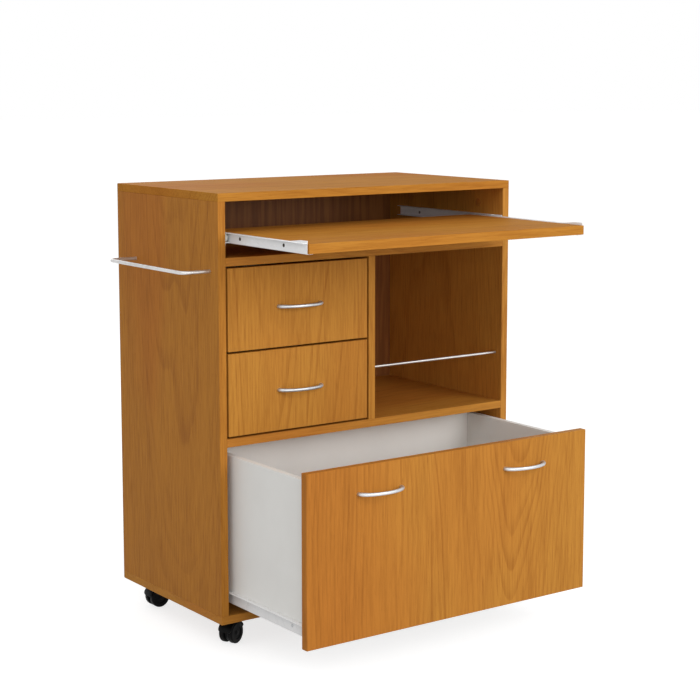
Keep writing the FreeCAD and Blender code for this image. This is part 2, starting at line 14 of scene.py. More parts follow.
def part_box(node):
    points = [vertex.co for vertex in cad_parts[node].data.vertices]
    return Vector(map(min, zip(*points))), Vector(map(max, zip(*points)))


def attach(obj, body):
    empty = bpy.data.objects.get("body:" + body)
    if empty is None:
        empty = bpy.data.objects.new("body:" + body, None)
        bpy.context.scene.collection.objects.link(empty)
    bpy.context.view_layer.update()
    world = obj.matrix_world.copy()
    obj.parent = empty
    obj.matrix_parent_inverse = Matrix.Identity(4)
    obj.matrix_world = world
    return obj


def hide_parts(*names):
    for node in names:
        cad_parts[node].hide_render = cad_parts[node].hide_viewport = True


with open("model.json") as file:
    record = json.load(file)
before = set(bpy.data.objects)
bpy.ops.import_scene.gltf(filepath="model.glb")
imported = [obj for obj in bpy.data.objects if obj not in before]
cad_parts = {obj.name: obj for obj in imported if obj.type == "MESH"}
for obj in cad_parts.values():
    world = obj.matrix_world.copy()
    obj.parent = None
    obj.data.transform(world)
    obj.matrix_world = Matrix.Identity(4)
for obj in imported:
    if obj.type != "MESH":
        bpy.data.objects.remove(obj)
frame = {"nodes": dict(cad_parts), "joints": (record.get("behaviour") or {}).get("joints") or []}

log = logging.getLogger("cart")
Socket = bpy.types.NodeSocket
Triple = tuple[float, float, float]
Colour = tuple[int, int, int]     # red, green and blue as shown, 0 to 255

MERGE_WITHIN = 1e-6               # metres between vertices that become one
SHARP_ABOVE = 35.0                # degrees from which an edge is shaded sharp
RIMS_ONLY = 60.0                  # degrees, well above the angle between two facets
ROUND_STEPS = 28                  # sides of round bars, bosses and caps


def tint(colour: Colour) -> tuple[float, float, float, float]:
    """Turns a display colour into the linear one that a shader takes.

    Args:
        colour: Red, green and blue from 0 to 255.

    Returns:
        Linear red, green and blue, and an alpha of 1.
    """
    parts = [v / 255 for v in colour]
    linear = [v / 12.92 if v <= 0.04045 else ((v + 0.055) / 1.055) ** 2.4 for v in parts]
    return (linear[0], linear[1], linear[2], 1.0)


class Grain(Enum):
    """Which way a board lies: its across, face and grain directions, in that order."""

    FRONT = ((1, 0, 0), (0, 1, 0), (0, 0, 1))
    SIDE = ((0, -1, 0), (1, 0, 0), (0, 0, 1))
    SHELF = ((0, 1, 0), (0, 0, 1), (1, 0, 0))

    def turn(self) -> Matrix:
        """The turn from board directions to the cart's, as a 3x3 matrix."""
        return Matrix(self.value).transposed()


# ---- node work ----
class Shader:
    """A material whose node tree is built by short calls."""

    def __init__(self, name: str) -> None:
        """Starts a material with an empty Principled surface.

        Args:
            name: The material's name.
        """
        self.material = bpy.data.materials.new(name)
        self.material.use_nodes = True
        self.tree = self.material.node_tree
        self.surface = self.tree.nodes["Principled BSDF"]
        self.coords = self.tree.nodes.new("ShaderNodeTexCoord").outputs["Object"]

    def node(self, kind: str, **settings: object) -> bpy.types.Node:
        """Adds a node.

        Args:
            kind: The node's type name.
            **settings: Its properties.

        Returns:
            The new node.
        """
        made = self.tree.nodes.new(kind)
        for key, value in settings.items():
            setattr(made, key, value)
        return made

    def feed(self, target: Socket, value: Socket | float | tuple) -> None:
        """Links a socket or sets a value.

        Args:
            target: The input to fill.
            value: A socket to link, or a plain value.
        """
        if isinstance(value, bpy.types.NodeSocket):
            self.tree.links.new(value, target)
        else:
            target.default_value = value

    def place(self, centre: Vector, turn: Matrix, scale: Triple = (1, 1, 1)) -> Socket:
        """Coordinates measured from a point, along turned axes.

        Args:
            centre: The new origin, in the row frame.
            turn: 3x3 matrix whose columns are the new axes.
            scale: Size of one unit along each new axis, in metres.

        Returns:
            The vector socket.
        """
        made = self.node("ShaderNodeMapping", vector_type="TEXTURE")
        self.feed(made.inputs["Vector"], self.coords)
        made.inputs["Location"].default_value = centre
        made.inputs["Rotation"].default_value = turn.to_euler()
        made.inputs["Scale"].default_value = scale
        return made.outputs[0]

    def noise(self, vector: Socket, scale: float, detail: float = 2.0, rough: float = 0.5) -> Socket:
        """A noise pattern.

        Args:
            vector: Where it is read.
            scale: Waves to the metre.
            detail: Finer layers.
            rough: Strength of the finer layers.

        Returns:
            The noise's level, about 0.5 in the middle.
        """
        made = self.node("ShaderNodeTexNoise")
        self.feed(made.inputs["Vector"], vector)
        made.inputs["Scale"].default_value = scale
        made.inputs["Detail"].default_value = detail
        made.inputs["Roughness"].default_value = rough
        return made.outputs[0]

    def calc(self, kind: str, a: Socket | float, b: Socket | float = 0.0, clamp: bool = False) -> Socket:
        """One arithmetic step.

        Args:
            kind: The operation.
            a: First value.
            b: Second value.
            clamp: Whether the result is kept from 0 to 1.

        Returns:
            The result.
        """
        made = self.node("ShaderNodeMath", operation=kind, use_clamp=clamp)
        self.feed(made.inputs[0], a)
        self.feed(made.inputs[1], b)
        return made.outputs[0]

    def spread(self, level: Socket, low: float, high: float, to_low: float = 0.0, to_high: float = 1.0) -> Socket:
        """Maps one range of levels smoothly to another.

        Args:
            level: The level.
            low: Where the range starts.
            high: Where it ends.
            to_low: The result at its start.
            to_high: The result at its end.

        Returns:
            The mapped level.
        """
        made = self.node("ShaderNodeMapRange", interpolation_type="SMOOTHSTEP")
        self.feed(made.inputs[0], level)
        for i, value in enumerate((low, high, to_low, to_high)):
            made.inputs[i + 1].default_value = value
        return made.outputs[0]

    def blend(self, level: Socket, a: Socket | tuple, b: Socket | tuple) -> Socket:
        """Mixes two colours.

        Args:
            level: 0 for the first, 1 for the second.
            a: First colour.
            b: Second colour.

        Returns:
            The mixed colour.
        """
        made = self.node("ShaderNodeMix", data_type="RGBA")
        self.feed(made.inputs[0], level)
        self.feed(made.inputs[6], a)
        self.feed(made.inputs[7], b)
        return made.outputs[2]

    def swing(self, pattern: Socket, by: float) -> Socket:
        """A pattern that is about 0.5 in the middle, centred on zero and scaled."""
        return self.calc("MULTIPLY", self.calc("SUBTRACT", pattern, 0.5), by)

    def parts(self, vector: Socket) -> list[Socket]:
        """A vector's x, y and z."""
        split = self.node("ShaderNodeSeparateXYZ")
        self.feed(split.inputs[0], vector)
        return list(split.outputs)

    def relief(self, height: Socket, depth: float) -> None:
        """Gives the surface a relief.

        Args:
            height: The height pattern.
            depth: Metres from its lowest to its highest level.
        """
        made = self.node("ShaderNodeBump")
        made.inputs["Strength"].default_value = 1.0
        made.inputs["Distance"].default_value = depth
        self.feed(made.inputs["Height"], height)
        self.feed(self.surface.inputs["Normal"], made.outputs[0])

    def set(self, **values: Socket | float | tuple) -> None:
        """Fills the surface's inputs.

        Args:
            **values: Input names with _ for each space, and what they take.
        """
        for key, value in values.items():
            self.feed(self.surface.inputs[key.replace("_", " ")], value)

    def put_on(self, thing: bpy.types.Object) -> None:
        """Puts the material on every slot of an object.

        Args:
            thing: The object.
        """
        if not thing.data.materials:
            thing.data.materials.append(self.material)
        for slot in thing.material_slots:
            slot.material = self.material


# ---- finishes ----
@dataclass(frozen=True)
class Layer:
    """A noise that is drawn out along the grain."""

    stretch: float                # times as long along the grain as across it
    scale: float                  # waves to the metre across it
    detail: float = 2.0
    rough: float = 0.5
    weight: float = 1.0           # what one unit of it adds

    def read(self, s: Shader, centre: Vector, turn: Matrix) -> Socket:
        """The layer's pattern in a material, measured from a point in a board's directions."""
        return s.noise(s.place(centre, turn, (1, 1, self.stretch)), self.scale, self.detail, self.rough)


WARP = Layer(4, 7.0, 1.0, 0.4, weight=0.075)      # slow bends of the rings, in metres
RIPPLE = Layer(7, 45.0, weight=0.0035)            # and quick ones
FIBRE = Layer(45, 1000.0, 3.0, 0.6, weight=1.1)
STREAK = Layer(22, 260.0, 3.0, 0.6, weight=1.35)
BAND = Layer(10, 26.0, weight=0.7)
FLECK = Layer(9, 560.0, 1.0, weight=0.22)
BROAD = Layer(2.5, 5.0, 1.0)
PRINT_STREAK = Layer(20, 120.0, 3.0)
FLUFF = Layer(1, 700.0, 5.0, 0.7, weight=0.85)
CLOUD = Layer(1, 18.0, 3.0, weight=0.15)

# levels of a pattern between which something shows
FLECK_SHOWS = (0.62, 0.76)
RED_SHOWS = (0.40, 0.70)
FIBRE_SHOWS = (0.3, 0.7)
SPECKLE_SHOWS = (0.38, 0.64)
PRINT_SHOWS = (0.35, 0.65)
BARE_SHOWS = (0.36, 0.64)

LINE_GROWS = (0.35, 0.88)         # shares of a ring over which its line darkens
LINE_ENDS = (0.90, 1.0)           # and over which it ends
LINE_CHANCE = (0.1, 1.0)          # chances from the weakest line to the strongest
WEAKEST_LINE = 0.12
PLAIN_LEVEL = 0.17                # darkness of a board between its patterns
RED_FADE = 0.2                    # metres over which the red side fades
SEED_SHIFT = (1.0, 0.7, 1.3)      # metres that one unit of a seed moves the noises
WOOD_ROUGHNESS = (0.50, 0.60)
FIBRE_RISE, FLECK_RISE = 0.6, -0.5
PORE_DEPTH = 0.00004
DRIFT_SHARE = 0.75                # of a speckled finish's pattern, its texture is the rest


@dataclass(frozen=True)
class WoodLaminate:
    """Honey-coloured alder print on a board, with thin growth lines and fine fibres."""

    grain: Grain
    pith_across: float = 0.0      # the rings' centre from the board's, across the face
    pith_depth: float = 0.10      # and behind its face
    tilt: float = 6.0             # degrees between the rings' axis and the grain
    spacing: float = 0.009
    figure: float = 0.22          # strength of the growth lines
    sheen: float = 0.08           # the shader's specular level
    light: Colour = (189, 130, 53)
    dark: Colour = (150, 91, 32)
    red: Colour = (178, 103, 38)
    redness: float = 0.45         # most of the red that a patch takes
    redder_from: float = 0.0      # across the board, where the red side starts
    redder_by: float = 0.0        # and how much it adds there
    seed: float = 0.0

    def rings(self, s: Shader, centre: Vector, turn: Matrix, shifted: Vector) -> Socket:
        """Growth lines round a tilted pith, each of its own strength.

        Args:
            s: The material.
            centre: Middle of the board.
            turn: The board's directions.
            shifted: Where the noises are measured from.

        Returns:
            1 on a strong line, 0 between lines.
        """
        pith = centre + turn @ Vector((self.pith_across, self.pith_depth, 0))
        leaning = turn @ Matrix.Rotation(math.radians(self.tilt), 3, "X")
        across, behind, _ = s.parts(s.place(pith, leaning))
        bent = s.calc("SQRT", s.calc("ADD", s.calc("MULTIPLY", across, across), s.calc("MULTIPLY", behind, behind)))
        for layer in (WARP, RIPPLE):
            bent = s.calc("ADD", bent, s.swing(layer.read(s, shifted, turn), layer.weight))
        count = s.calc("DIVIDE", bent, self.spacing)
        phase = s.calc("FRACT", count)
        chance = s.node("ShaderNodeTexWhiteNoise", noise_dimensions="1D")
        s.feed(chance.inputs["W"], s.calc("ADD", s.calc("FLOOR", count), self.seed))
        strength = s.spread(chance.outputs["Value"], *LINE_CHANCE, WEAKEST_LINE, 1.0)
        line = s.calc("MULTIPLY", s.spread(phase, *LINE_GROWS), s.spread(phase, *LINE_ENDS, 1.0, 0.0))
        return s.calc("MULTIPLY", line, strength)

    def dress(self, thing: bpy.types.Object, centre: Vector) -> None:
        """Puts the finish on a board.

        Args:
            thing: The board.
            centre: Its middle, in the row frame.
        """
        s = Shader("wood_" + thing.name)
        turn = self.grain.turn()
        shifted = centre + Vector([self.seed * by for by in SEED_SHIFT])
        fibre, streak, band, flecks, broad = (
            layer.read(s, shifted, turn) for layer in (FIBRE, STREAK, BAND, FLECK, BROAD)
        )
        fleck = s.spread(flecks, *FLECK_SHOWS)

        level = s.calc("MULTIPLY", self.rings(s, centre, turn, shifted), self.figure)
        for pattern, layer in ((streak, STREAK), (fibre, FIBRE), (band, BAND)):
            level = s.calc("ADD", level, s.swing(pattern, layer.weight))
        level = s.calc("ADD", level, s.calc("MULTIPLY", fleck, FLECK.weight))
        level = s.calc("ADD", level, PLAIN_LEVEL, clamp=True)
        wood = s.blend(level, tint(self.light), tint(self.dark))
        warm = s.spread(broad, *RED_SHOWS, 0.0, self.redness)
        if self.redder_by:
            across = s.parts(s.place(centre, turn))[0]
            redder = s.spread(across, self.redder_from - RED_FADE, self.redder_from, self.redder_by, 0.0)
            warm = s.calc("ADD", warm, redder, clamp=True)
        wood = s.blend(warm, wood, s.blend(level, tint(self.red), tint(self.dark)))
        s.set(Base_Color=wood, Roughness=s.spread(fibre, *FIBRE_SHOWS, *WOOD_ROUGHNESS))
        s.set(Specular_IOR_Level=self.sheen)
        pores = s.calc("ADD", s.calc("MULTIPLY", fibre, FIBRE_RISE), s.calc("MULTIPLY", fleck, FLECK_RISE))
        s.relief(pores, PORE_DEPTH)
        s.put_on(thing)


@dataclass(frozen=True)
class SpeckledFinish:
    """A moulded, sprayed or plated surface: one colour that drifts, over a fine texture."""

    name: str
    colour: Colour
    drift: Colour                 # the colour that it drifts towards
    roughness: tuple[float, float]
    pimple: float                 # pimples to the metre
    depth: float                  # and their height
    metallic: float = 0.0
    specular: float = 0.5
    patch: float = 25.0           # patches to the metre
    stretch: Triple = (1, 1, 1)   # what brushing draws the texture out by

    def make(self) -> Shader:
        """The finish as a material."""
        s = Shader(self.name)
        plain = Matrix.Identity(3)
        drift = s.noise(s.place(Vector(), plain), self.patch, detail=4.0, rough=0.6)
        fine = s.noise(s.place(Vector(), plain, self.stretch), self.pimple)
        both = s.calc("ADD", s.calc("MULTIPLY", drift, DRIFT_SHARE), s.calc("MULTIPLY", fine, 1 - DRIFT_SHARE))
        level = s.spread(both, *SPECKLE_SHOWS)
        s.set(Base_Color=s.blend(level, tint(self.colour), tint(self.drift)))
        s.set(Roughness=s.spread(level, 0.0, 1.0, *self.roughness))
        s.set(Metallic=self.metallic, Specular_IOR_Level=self.specular)
        s.relief(fine, self.depth)
        return s


@dataclass(frozen=True)
class Hardboard:
    """Thin fibreboard: a dark wood print inside the cabinet, bare brown fibres outside."""

    inside: Colour = (150, 94, 46)
    inside_dark: Colour = (124, 74, 34)
    outside: Colour = (146, 106, 68)
    outside_dark: Colour = (124, 87, 54)
    roughness: tuple[float, float] = (0.5, 0.82)      # inside and outside
    specular: float = 0.3
    depth: float = 0.00012        # of the bare fibres

    def dress(self, thing: bpy.types.Object, face_y: float) -> None:
        """Puts the finish on the back panel.

        Args:
            thing: The panel.
            face_y: The level between its two faces.
        """
        s = Shader("hardboard")
        plain = Matrix.Identity(3)
        side = s.calc("GREATER_THAN", s.parts(s.coords)[1], face_y)
        streak, fluff, cloud = (layer.read(s, Vector(), plain) for layer in (PRINT_STREAK, FLUFF, CLOUD))
        printed = s.blend(s.spread(streak, *PRINT_SHOWS), tint(self.inside), tint(self.inside_dark))
        fibres = s.calc("ADD", s.calc("MULTIPLY", fluff, FLUFF.weight), s.calc("MULTIPLY", cloud, CLOUD.weight))
        bare = s.blend(s.spread(fibres, *BARE_SHOWS), tint(self.outside), tint(self.outside_dark))
        s.set(Base_Color=s.blend(side, printed, bare), Roughness=s.spread(side, 0, 1, *self.roughness))
        s.set(Specular_IOR_Level=self.specular)
        s.relief(s.calc("MULTIPLY", fluff, side), self.depth)
        s.put_on(thing)


WHITE_BOARD = SpeckledFinish("white_board", (237, 236, 232), (233, 232, 228), (0.42, 0.48), 1400.0, 0.00002,
                             specular=0.2, patch=6.0)
RUNNER_ENAMEL = SpeckledFinish("runner_enamel", (240, 240, 240), (235, 235, 235), (0.26, 0.34), 1600.0, 0.00002)
SATIN_NICKEL = SpeckledFinish("satin_nickel", (203, 206, 209), (190, 193, 197), (0.44, 0.54), 1500.0, 0.000012,
                              metallic=1.0, stretch=(40, 1, 1))
CHROMED_ROD = SpeckledFinish("chromed_rod", (210, 209, 208), (196, 195, 194), (0.40, 0.50), 900.0, 0.000006,
                             metallic=1.0)
PLATED_STEEL = SpeckledFinish("plated_steel", (176, 178, 180), (146, 148, 152), (0.28, 0.46), 1100.0, 0.00002,
                              metallic=1.0, patch=90.0)
DARK_SCREW = SpeckledFinish("dark_screw", (58, 46, 36), (38, 31, 26), (0.35, 0.5), 1100.0, 0.00002,
                            metallic=0.7, patch=90.0)
CASTER_PLASTIC = SpeckledFinish("caster_plastic", (7, 7, 8), (11, 11, 12), (0.34, 0.46), 1300.0, 0.00003,
                                specular=0.09)
WHEEL_PLASTIC = SpeckledFinish("wheel_plastic", (7, 7, 7), (12, 11, 11), (0.42, 0.60), 900.0, 0.00004,
                               specular=0.08, patch=60.0)
ROLLER_PLASTIC = SpeckledFinish("roller_plastic", (226, 223, 212), (214, 211, 199), (0.38, 0.5), 1200.0, 0.00003)
CAP_PLASTIC = SpeckledFinish("cap_plastic", (182, 120, 50), (168, 108, 42), (0.42, 0.5), 1300.0, 0.00003,
                             specular=0.2)
UPPER_FRONT = WoodLaminate(Grain.FRONT, -0.05, 0.09, 4.0, figure=0.38, redness=0.35, seed=21.3)
LOWER_FRONT = WoodLaminate(Grain.FRONT, -0.08, 0.10, 5.0, figure=0.38, redness=0.35, seed=23.9)
POT_FRONT = WoodLaminate(Grain.FRONT, 0.15, 0.085, 7.0, figure=0.40, redness=0.30,
                         redder_from=-0.02, redder_by=0.45, seed=27.2)


# ---- new pieces ----
def finished(bm: bmesh.types.BMesh, name: str) -> bpy.types.Object:
    """Makes a closed mesh an object at the origin, smooth where it is round.

    Args:
        bm: The mesh, in the row frame. It is used up.
        name: The piece's name.

    Returns:
        The linked object.
    """
    bmesh.ops.remove_doubles(bm, verts=bm.verts, dist=MERGE_WITHIN)
    bmesh.ops.recalc_face_normals(bm, faces=bm.faces)
    mesh = bpy.data.meshes.new(name)
    bm.to_mesh(mesh)
    bm.free()
    mesh.shade_smooth()
    mesh.set_sharp_from_angle(angle=math.radians(SHARP_ABOVE))
    thing = bpy.data.objects.new(name, mesh)
    bpy.context.scene.collection.objects.link(thing)
    return thing


def joint_place(name: str) -> Vector:
    """Where a joint stands in the row frame."""
    return Vector(next(j for j in frame["joints"] if j["name"] == name)["pos_m"])


def join(bm: bmesh.types.BMesh, part: bmesh.types.BMesh) -> None:
    """Adds a part to a larger mesh.

    Args:
        bm: The mesh that takes it.
        part: The part. It is used up.
    """
    scratch = bpy.data.meshes.new("part")
    part.to_mesh(scratch)
    part.free()
    bm.from_mesh(scratch)
    bpy.data.meshes.remove(scratch)


def outline(bm: bmesh.types.BMesh, points: list[Vector], along: Vector) -> None:
    """Extrudes a closed outline.

    Args:
        bm: The mesh that takes it.
        points: The outline's corners in order.
        along: How far it is extruded.
    """
    face = bm.faces.new([bm.verts.new(p) for p in points])
    grown = bmesh.ops.extrude_face_region(bm, geom=[face])["geom"]
    bmesh.ops.translate(bm, verts=[g for g in grown if isinstance(g, bmesh.types.BMVert)], vec=along)


def soften(bm: bmesh.types.BMesh, offset: float, above: float = 30.0) -> None:
    """Rounds the edges that are sharper than an angle.

    Args:
        bm: The mesh.
        offset: Width of the rounding, in metres.
        above: The angle, in degrees.
    """
    limit = math.radians(above)
    edges = [e for e in bm.edges if len(e.link_faces) == 2 and e.calc_face_angle(0.0) > limit]
    bmesh.ops.bevel(bm, geom=edges, offset=offset, segments=2, profile=0.5, affect="EDGES", material=-1)


def round_bar(radius: float, length: float, soft: float = 0.0) -> bmesh.types.BMesh:
    """A round bar along +Z from the origin.

    Args:
        radius: Its radius.
        length: Its length.
        soft: Rounding of its ends.

    Returns:
        The mesh.
    """
    bm = bmesh.new()
    bmesh.ops.create_cone(bm, cap_ends=True, segments=ROUND_STEPS, radius1=radius, radius2=radius, depth=length)
    bmesh.ops.translate(bm, verts=bm.verts, vec=(0, 0, length / 2))
    if soft:
        soften(bm, soft, RIMS_ONLY)
    return bm


@dataclass(frozen=True)
class BowHandle:
    """A slim bow whose ends turn into the front and thicken into feet."""

    half_width: float = 0.053     # outside of a foot from the middle
    foot: float = 0.0046          # half a foot's width
    reach: float = 0.026
    foot_h: float = 0.0078
    middle_h: float = 0.0064
    steps: int = 40
    sides: int = 20

    def add_to(self, bm: bmesh.types.BMesh, centre: Vector) -> None:
        """Adds one bow.

        Args:
            bm: The mesh that takes it.
            centre: Its middle, on the face of its front.
        """
        bow = bmesh.new()
        bmesh.ops.create_circle(bow, cap_ends=True, segments=self.sides, radius=self.foot)
        bmesh.ops.rotate(bow, verts=bow.verts, matrix=Matrix.Rotation(math.pi / 2, 3, "X"))
        bmesh.ops.scale(bow, verts=bow.verts, vec=(1, 1, self.foot_h / 2 / self.foot))
        path = self.half_width - self.foot
        bmesh.ops.translate(bow, verts=bow.verts, vec=(path, 0, 0))
        bmesh.ops.spin(bow, geom=bow.verts[:] + bow.edges[:] + bow.faces[:], axis=(0, 0, 1),
                       angle=-math.pi, steps=self.steps)
        bmesh.ops.scale(bow, verts=bow.verts, vec=(1, self.reach / self.half_width, 1))
        for vert in bow.verts:
            share = min(1.0, abs(vert.co.x) / path)
            vert.co.z *= (self.middle_h + (self.foot_h - self.middle_h) * share ** 3) / self.foot_h
        bmesh.ops.translate(bow, verts=bow.verts, vec=centre)
        join(bm, bow)

    def replace(self, node: str, body: str, shader: Shader) -> bpy.types.Object:
        """Stands for a handle node, which holds one handle or a pair.

        Args:
            node: The CAD node.
            body: The body that it rides on.
            shader: Its material.

        Returns:
            The new piece.
        """
        low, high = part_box(node)
        xs = sorted({round(low.x + self.half_width, 4), round(high.x - self.half_width, 4)})
        bm = bmesh.new()
        for x in xs:
            self.add_to(bm, Vector((x, high.y, (low.z + high.z) / 2)))
        piece = finished(bm, body + ("_bow_handles" if len(xs) > 1 else "_bow_handle"))
        shader.put_on(piece)
        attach(piece, body)
        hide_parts(node)
        return piece


@dataclass(frozen=True)
class CamCaps:
    """Thin domed caps over the cams that would show in the bays."""

    radius: float = 0.0085
    rise: float = 0.0009
    rim_share: float = 0.55       # of the rise, up to the crown's foot
    crown_inset: float = 0.22     # of the radius, from the rim to the crown
    inset: float = 0.080          # from the boards' front and rear edges
    distance: float = 0.034       # from the board's end

    def add_to(self, bm: bmesh.types.BMesh, place: Vector, face: Vector) -> None:
        """Adds one cap.

        Args:
            bm: The mesh that takes it.
            place: Its middle, on the board.
            face: The way that it looks.
        """
        cap = bmesh.new()
        bmesh.ops.create_circle(cap, cap_ends=True, segments=ROUND_STEPS, radius=self.radius)
        grown = bmesh.ops.extrude_face_region(cap, geom=cap.faces[:])["geom"]
        top = [g for g in grown if isinstance(g, bmesh.types.BMVert)]
        bmesh.ops.translate(cap, verts=top, vec=(0, 0, self.rise * self.rim_share))
        face_top = [g for g in grown if isinstance(g, bmesh.types.BMFace)]
        bmesh.ops.inset_region(cap, faces=face_top, thickness=self.radius * self.crown_inset)
        crown = [v for f in face_top for v in f.verts]
        bmesh.ops.translate(cap, verts=crown, vec=(0, 0, self.rise * (1 - self.rim_share)))
        bmesh.ops.rotate(cap, verts=cap.verts, matrix=face.to_track_quat("Z", "Y").to_matrix())
        bmesh.ops.translate(cap, verts=cap.verts, vec=place)
        join(bm, cap)

    def build(self, shader: Shader) -> bpy.types.Object:
        """All caps as one piece on the cabinet.

        Args:
            shader: Its material.

        Returns:
            The piece.
        """
        bm = bmesh.new()
        left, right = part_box("left_side_panel"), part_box("right_side_panel")
        inner_left, inner_right = left[1].x, right[0].x
        for y in (left[0].y + self.inset, left[1].y - self.inset):
            z = left[1].z - self.distance
            self.add_to(bm, Vector((inner_left, y, z)), Vector((1, 0, 0)))
            self.add_to(bm, Vector((inner_right, y, z)), Vector((-1, 0, 0)))
            for shelf in ("worktop_shelf", "middle_shelf"):
                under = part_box(shelf)[0].z
                for x in (inner_left + self.distance, inner_right - self.distance):
                    self.add_to(bm, Vector((x, y, under)), Vector((0, 0, -1)))
        piece = finished(bm, "cam_caps")
        shader.put_on(piece)
        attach(piece, "cabinet")
        return piece


@dataclass(frozen=True)
class FoldedMembers:
    """A pair of runner members folded from sheet, with round bends and a pin for each roller."""

    lip_in: float = 0.0005        # lip's edge inside the pins' heads
    web_in: float = 0.0090        # web's outer face
    sheet: float = 0.0012
    flange: float = 0.0120
    bend_r: float = 0.0016
    bend_steps: int = 6
    edge_soft: float = 0.00035
    tab_h: float = 0.0            # height of a raised front end, which falls off in a taper
    tab_length: float = 0.070
    tab_level: float = 0.3        # share of it that is nearly level
    tab_fall: float = 0.0002      # and how far it falls over that share
    tab_soft: float = 0.0002
    axis_up: float = 0.0129       # roller pin above the underside
    axis_in: float = 0.012        # and from the rear end
    pin_r: float = 0.0025
    head_r: float = 0.004
    head_t: float = 0.0006

    def member(self, low: Vector, high: Vector) -> bmesh.types.BMesh:
        """The left member.

        Args:
            low: Lowest corner of the CAD pair.
            high: Highest corner of the CAD pair.

        Returns:
            Its mesh, in the row frame.
        """
        lip_x, web_x = low.x + self.lip_in, low.x + self.web_in
        top, under, t = high.z - self.tab_h, low.z, self.sheet
        quarter = [math.radians(90.0 / self.bend_steps * i) for i in range(self.bend_steps + 1)]
        profile = [(lip_x, top - t), (lip_x, top)]
        profile += [(web_x + t - self.bend_r * (1 - math.sin(a)), top - self.bend_r * (1 - math.cos(a)))
                    for a in quarter]
        profile += [(web_x + t, under + t), (web_x + t + self.flange, under + t), (web_x + t + self.flange, under)]
        profile += [(web_x + self.bend_r * (1 - math.sin(a)), under + self.bend_r * (1 - math.cos(a)))
                    for a in quarter]
        profile.append((web_x, top - t))
        bm = bmesh.new()
        outline(bm, [Vector((x, low.y, z)) for x, z in profile], Vector((0, high.y - low.y, 0)))
        soften(bm, self.edge_soft)
        if self.tab_h:
            tab = bmesh.new()
            corners = [(low.y, top - self.bend_r), (low.y, high.z),
                       (low.y + self.tab_length * self.tab_level, high.z - self.tab_fall),
                       (low.y + self.tab_length, top - self.bend_r)]
            outline(tab, [Vector((web_x, y, z)) for y, z in corners], Vector((t, 0, 0)))
            soften(tab, self.tab_soft, RIMS_ONLY)
            join(bm, tab)
        to_left = Matrix.Rotation(-math.pi / 2, 3, "Y")
        for radius, start, length in ((self.pin_r, web_x, web_x - low.x - self.head_t),
                                      (self.head_r, low.x + self.head_t, self.head_t)):
            pin = round_bar(radius, length)
            bmesh.ops.rotate(pin, verts=pin.verts, matrix=to_left)
            bmesh.ops.translate(pin, verts=pin.verts, vec=(start, high.y - self.axis_in, low.z + self.axis_up))
            join(bm, pin)
        return bm

    def replace(self, node: str, body: str, shader: Shader) -> bpy.types.Object:
        """Stands for the pair of members.

        Args:
            node: The CAD node.
            body: The body that it rides on.
            shader: Its material.

        Returns:
            The new piece.
        """
        low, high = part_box(node)
        bm = self.member(low, high)
        other = self.member(low, high)
        bmesh.ops.scale(other, verts=other.verts, vec=(-1, 1, 1))
        bmesh.ops.translate(other, verts=other.verts, vec=(low.x + high.x, 0, 0))
        join(bm, other)
        piece = finished(bm, body + "_runner_members")
        shader.put_on(piece)
        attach(piece, body)
        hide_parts(node)
        return piece


